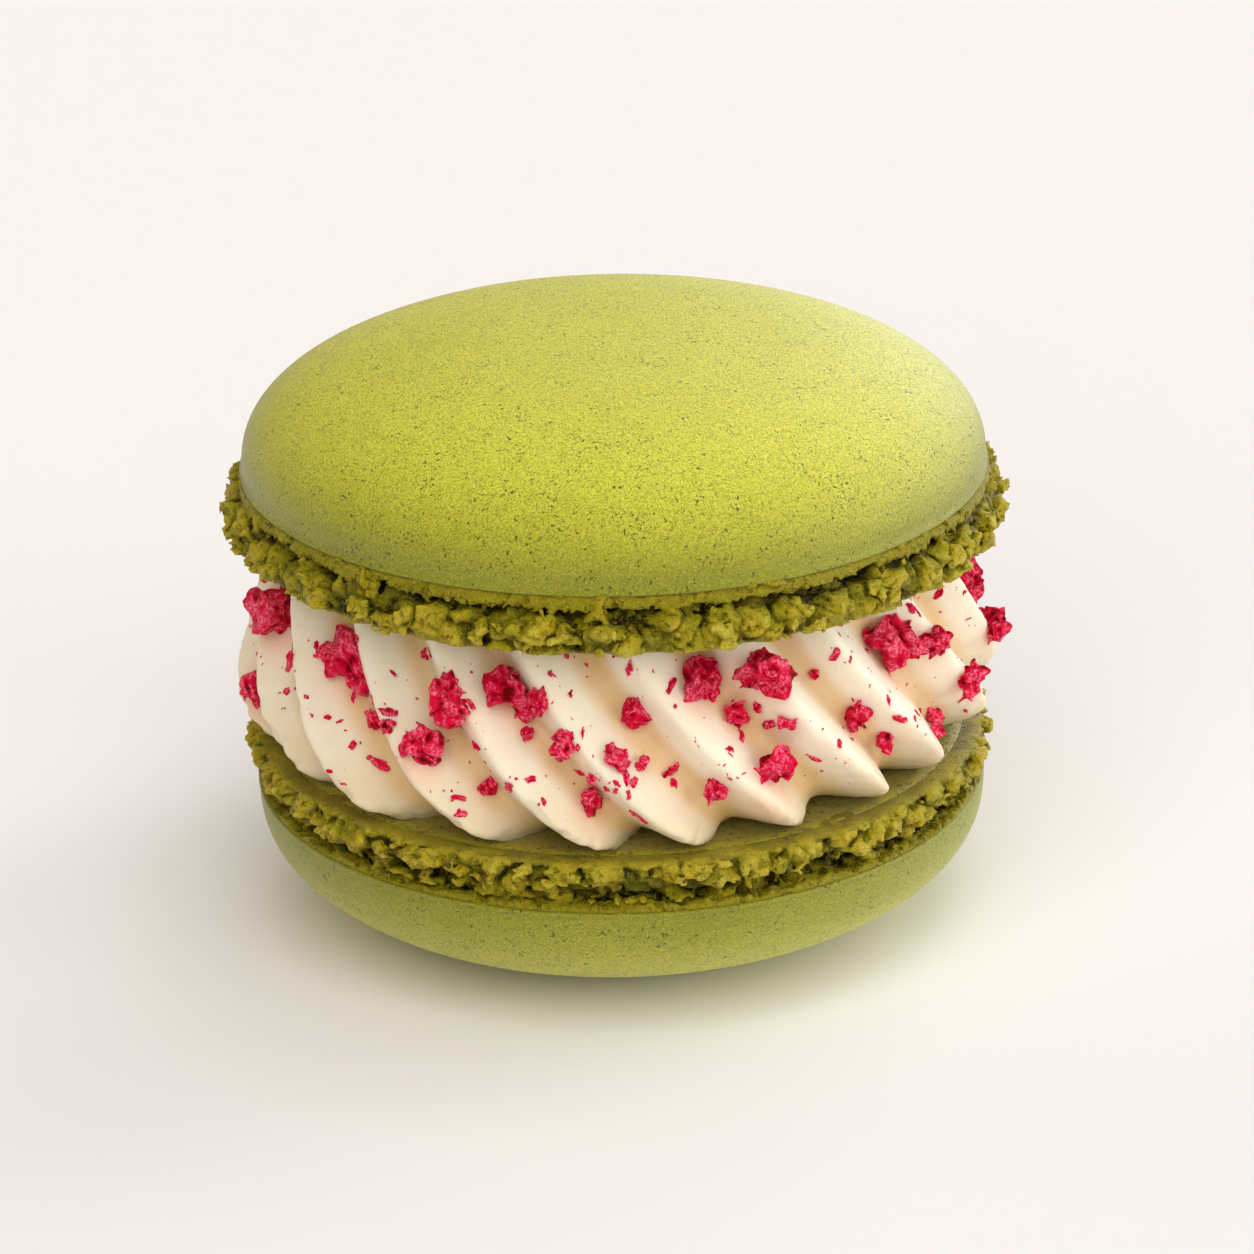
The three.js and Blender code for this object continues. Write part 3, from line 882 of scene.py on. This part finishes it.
def finish(nodes, surface, inputs):
    """Sets or links the inputs of a material's surface."""
    for name, value in inputs.items():
        feed(nodes.tree, surface.inputs[name], value)


def dome_material():
    """Matt baked meringue: squiggly grain, many small pores with painted shade in them, and painted
    shade darkening it towards the rim.
    """
    material, nodes, surface, place = new_material("pistachio_dome")
    crown_green, rim_shade_green, face_green = screen(229, 227, 70), screen(121, 121, 8), screen(146, 132, 16)
    pale_grain, dark_grain = screen(232, 230, 116), screen(112, 114, 12)
    pore_shade, dome_pit_shade = screen(70, 68, 10), screen(66, 58, 2)
    rise = attribute(nodes, "rise")
    on_face = rise.between(-0.15, -0.3)
    broad = nodes.noise(place, 0.12, 3.0, 0.55)
    grain = nodes.noise(place, 9.0, 2.0, 0.6)
    squiggle = nodes.noise(nodes.shifted(place, (7.0, 3.0, 1.0)), 4.6, 1.5, 0.6) - 0.5
    squiggle = squiggle.size().between(0.0, 0.055)
    spotted = nodes.noise(nodes.shifted(place, (1.0, 5.0, 9.0)), 4.4, 1.5, 0.55)
    pore = (spotted + 0.2 * (nodes.noise(place, 0.5, 1.0) - 0.5)).between(0.655, 0.71)
    pit = nodes.noise(nodes.shifted(place, (6.0, 2.0, 4.0)), 2.1, 3.0, 0.65).between(0.56, 0.66)
    pit = pit * on_face
    relief = grain * 0.9 + squiggle * 0.25 - pore * 1.2 - pit * 3.0
    finish(nodes, surface, {
        "Base Color": nodes.layered(
            crown_green,
            # painted shade: darker towards the rim, with a little random tone
            ((1 - rise.between(0.0, 0.85)) * 0.8 + broad * 0.2, rim_shade_green),
            (on_face, face_green),
            (grain.between(0.5, 0.7) * 0.2, pale_grain),
            (grain.between(0.5, 0.3) * 0.55, dark_grain),
            ((1 - squiggle) * 0.7, dark_grain),
            # painted shade in the pores, and in the pits of the inner face
            (pore * 0.85, pore_shade),
            (pit * 0.5, dome_pit_shade),
        ),
        "Roughness": 0.36 + 0.14 * grain,
        "Specular IOR Level": 0.5,
        "Sheen Weight": 0.12,
        "Sheen Roughness": 0.45,
        "Normal": bump(nodes, relief, 0.09, 0.7),
    })
    return material


def foot_material():
    """The porous foot: paler and golden where it stands out, partly its own colour and partly painted
    light, with painted shade darkening its recesses, holes and pits.
    """
    material, nodes, surface, place = new_material("pistachio_foot")
    hole_shade, recess_shade_green, foam_green = screen(34, 29, 0), screen(119, 109, 6), screen(165, 153, 18)
    lit_tip_green, gold, sand_green = screen(222, 207, 72), screen(206, 172, 26), screen(216, 204, 90)
    moss, foot_pit_shade, plate_green = screen(74, 66, 2), screen(52, 46, 0), screen(196, 180, 56)
    painted_shading = attribute(nodes, "painted_shading")
    level = attribute(nodes, "level")
    patch = nodes.noise(place, 0.6, 3.0, 0.6)
    fine = nodes.noise(place, 4.2, 4.0, 0.72)
    sand = nodes.noise(nodes.shifted(place, (4.0, 9.0, 2.0)), 8.0, 2.0, 0.7)
    pits = nodes.noise(nodes.shifted(place, (2.0, 6.0, 5.0)), 2.2, 2.0, 0.6).between(0.6, 0.67)
    golden = patch.between(0.38, 0.62) * painted_shading.between(0.2, 0.7)
    finish(nodes, surface, {
        "Base Color": nodes.layered(
            hole_shade,
            # painted shade: darkest in the holes, dark green in the recesses
            (painted_shading.between(-0.5, 0.02), recess_shade_green),
            (painted_shading.between(0.0, 0.5), foam_green),
            # painted light: paler on the tips that stand out
            (painted_shading.between(0.4, 1.3) * 0.8, lit_tip_green),
            # golden patches where it stands out: partly the foot's own colour, partly painted light
            (golden * 0.5, gold),
            (sand.between(0.5, 0.75) * 0.4, sand_green),
            (fine.between(0.5, 0.28) * 0.5, moss),
            # painted shade in the pits
            (pits * 0.35, foot_pit_shade),
            (level.between(0.1, 0.03) * 0.4, plate_green),
        ),
        "Roughness": 0.26 + 0.3 * fine,
        "Specular IOR Level": 0.3,
        "Normal": bump(nodes, fine + 0.35 * sand - 0.8 * pits, 0.42, 0.9),
    })
    return material


def cream_material():
    """Buttercream: pale and faintly see-through, with painted shade warming its valleys and darkening
    its lower part, and warmer where a crumb stains it.
    """
    material, nodes, surface, place = new_material("butter_cream")
    pale, painted_shading, low = screen(238, 229, 206), screen(220, 182, 120), screen(208, 184, 138)
    pink, apricot, caramel = screen(238, 210, 192), screen(240, 160, 112), screen(206, 142, 80)
    crest, share, stain = (attribute(nodes, name) for name in ("crest", "share", "stain"))
    soft = nodes.noise(place, 0.35, 3.0)
    patch = nodes.noise(nodes.shifted(place, (5.0, 2.0, 9.0)), 0.3)
    specks = nodes.cells(place, 0.75).between(0.07, 0.04)
    dents = nodes.noise(place, 1.6, 3.0, 0.6) - 0.5 * nodes.cells(place, 0.9).between(0.16, 0.05)
    finish(nodes, surface, {
        "Base Color": nodes.layered(
            pale,
            # painted shade: tan towards the lower edge
            (share.between(0.5, 0.05) * 0.6, low),
            # painted shade: warm in the valleys, standing in for shade and light bounced inside the
            # cream
            (crest.between(0.5, 0.0) * (0.45 + 0.7 * soft).clamped(), painted_shading),
            (patch.between(0.5, 0.7) * 0.15, pink),
            (stain * (0.2 + 0.5 * soft), apricot),
            (specks * 0.6, caramel),
        ),
        "Roughness": 0.36 + 0.2 * soft,
        "Subsurface Weight": 0.4,
        "Subsurface Radius": (1.0, 0.5, 0.22),
        "Subsurface Scale": 1.6 * MM,
        "Normal": bump(nodes, dents, 0.1, 0.5),
    })
    return material


def raspberry_material():
    """Freeze-dried raspberry: red, with painted shade darkening its folds to crimson, and pink where it
    stands out, partly real powder and partly painted highlight.
    """
    material, nodes, surface, place = new_material("dried_raspberry")
    fold_shade_red, red = screen(112, 0, 6), screen(214, 6, 56)
    powder_and_highlight, crimson = screen(255, 128, 160), screen(150, 4, 30)
    relief = attribute(nodes, "relief")
    fine = nodes.noise(place, 6.5, 3.0, 0.75)
    patch = nodes.noise(place, 0.9)
    dust_and_highlight = (relief + 0.7 * (patch - 0.5)).between(0.45, 0.8)
    finish(nodes, surface, {
        "Base Color": nodes.layered(
            fold_shade_red,
            # painted shade: dark red in the folds, full red where it stands out
            (relief.between(0.1, 0.45), red),
            # pink where it stands out: partly real powder, partly painted highlight
            (dust_and_highlight * fine.between(0.42, 0.6) * 0.9, powder_and_highlight),
            (fine.between(0.45, 0.3) * 0.35, crimson),
        ),
        "Roughness": 0.4 + 0.3 * fine,
        "Specular IOR Level": 0.15,
        "Subsurface Weight": 0.12,
        "Subsurface Radius": (1.0, 0.2, 0.25),
        "Subsurface Scale": 0.5 * MM,
        "Normal": bump(nodes, fine, 0.14, 0.8),
    })
    return material


def table_material():
    """A pale matt table with hardly any tone of its own."""
    material, nodes, surface, place = new_material("pale_surface")
    # two nearly equal tones mixed by noise; no light or shade is painted
    paler_tone, darker_tone = (0.838, 0.816, 0.808, 1.0), (0.828, 0.806, 0.798, 1.0)
    finish(nodes, surface, {
        "Base Color": nodes.layered(paler_tone, (nodes.noise(place, 0.02) * 0.04, darker_tone)),
        "Roughness": 0.9,
        "Specular IOR Level": 0.1,
    })
    return material


# ==== Table, light and camera ============================================================


def make_table(material):
    half = 2000.0
    corners = [(-half, -half, 0), (half, -half, 0), (half, half, 0), (-half, half, 0)]
    table = mesh_object("table", corners, [(0, 1, 2, 3)], smooth=False)
    table.data.materials.append(material)


def add_sun(name, strength, colour, width, turn, elevation, glints=False):
    """A far soft light, a width in degrees across, at a turn from the front and an elevation.

    A light that glints also shows as a highlight on glossy places.
    """
    sun = bpy.data.lights.new(name, "SUN")
    sun.energy = strength
    sun.color = colour
    sun.angle = math.radians(width)
    holder = add_object(name, sun)
    holder.visible_glossy = glints
    across, up = math.radians(turn), math.radians(elevation)
    towards = Vector((math.sin(across) * math.cos(up), -math.cos(across) * math.cos(up),
                      math.sin(up)))
    holder.rotation_euler = towards.to_track_quat("Z", "Y").to_euler()


def make_lights():
    """Soft windows and boxes all round, with a faint warm room behind them."""
    world = bpy.data.worlds.new("room")
    bpy.context.scene.world = world
    world.use_nodes = True
    background = world.node_tree.nodes["Background"]
    background.inputs["Color"].default_value = (1.0, 0.8, 0.6, 1.0)
    background.inputs["Strength"].default_value = 0.02
    white = (1.0, 1.0, 1.0)
    add_sun("front_softbox", 2.2, (1.0, 0.98, 0.97), 65, -4, 48)
    add_sun("front_fill", 0.4, (1.0, 0.87, 0.72), 60, -25, 12)
    add_sun("right_fill", 1.15, white, 36, 60, 10)
    add_sun("side_window", 1.3, white, 36, 103, 9, glints=True)
    add_sun("key", 0.55, white, 28, 120, 29, glints=True)
    add_sun("top_softbox", 0.6, white, 40, 95, 78)
    add_sun("back_window", 1.0, (0.95, 0.97, 1.06), 36, 155, 9, glints=True)
    add_sun("back_fill", 0.25, white, 50, 175, 50)
    add_sun("left_bounce", 0.5, (1.0, 0.72, 0.42), 50, -125, 22)


def make_camera():
    """A long lens at table distance, looking down at the front."""
    elevation = math.radians(CAMERA_ELEVATION)
    back = Vector((0.0, -math.cos(elevation), math.sin(elevation)))
    camera = bpy.data.cameras.new("camera")
    camera.sensor_width = SENSOR_WIDTH
    camera.lens = SENSOR_WIDTH * FOCAL_PIXELS / PICTURE_PIXELS
    holder = add_object("camera", camera)
    roll = Matrix.Rotation(-math.radians(CAMERA_ROLL), 3, "Z")
    turn = back.to_track_quat("Z", "Y").to_matrix() @ roll
    place = Vector(CAMERA_AIM) * MM + back * CAMERA_DISTANCE * MM
    holder.matrix_world = Matrix.Translation(place) @ turn.to_4x4()
    bpy.context.scene.camera = holder


# ==== Assembly ===========================================================================


def finish_piece(piece, material, slot, *nodes):
    """Coats a piece, unless its tree has done so, hangs it on the root body and hides the frame's parts
    that it stands for.
    """
    if material is not None:
        piece.data.materials.clear()
        piece.data.materials.append(material)
    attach(piece, "root")
    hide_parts(*nodes)


def make_shells():
    """Each shell's dome, foot and torn skirt."""
    voxel = VOXEL
    dome_finish, foot_finish = dome_material(), foot_material()
    ruffles, skirts = foot_tree(foot_finish), skirt_tree(foot_finish)
    for side, shell, upside_down in (("lower", LOWER, True), ("upper", UPPER, False)):
        edge = shell["lip_radius"] - SKIRT_TUCK
        foot = make_ring(side + "_foot", ruffles, reach=shell["foot_radius"], voxel=voxel, **shell)
        skirt = make_ring(side + "_skirt", skirts, reach=edge, voxel=voxel, **shell)
        dome = make_dome(side + "_dome", shell)
        for piece, material in ((dome, dome_finish), (foot, None), (skirt, None)):
            place_shell(piece, shell, upside_down)
            finish_piece(piece, material, "shell", side + "_shell")


def make_filling():
    """The cream with its crumbs and flecks."""
    cream = make_cream()
    berry = raspberry_material()
    crumbs = crumb_list()
    large = [crumb for crumb in crumbs if max(crumb[2:]) >= LARGE_CRUMB]
    small = [crumb for crumb in crumbs if max(crumb[2:]) < LARGE_CRUMB]
    lumps = make_crumbs("raspberry_crumbs", cream, large, crumb_tree(berry, 5), 5)
    bits = make_crumbs("raspberry_bits", cream, small, crumb_tree(berry, 4), 6)
    stain_cream(cream, crumbs)
    flecks = make_flecks(cream, fleck_tree(berry))
    finish_piece(cream, cream_material(), "cream", "filling")
    for piece in (lumps, bits, flecks):
        finish_piece(piece, None, "raspberry", "filling")


def main():
    bpy.context.scene.view_settings.view_transform = "Standard"
    bpy.context.scene.view_settings.look = "None"
    make_camera()
    make_lights()
    make_table(table_material())
    make_shells()
    make_filling()


main()
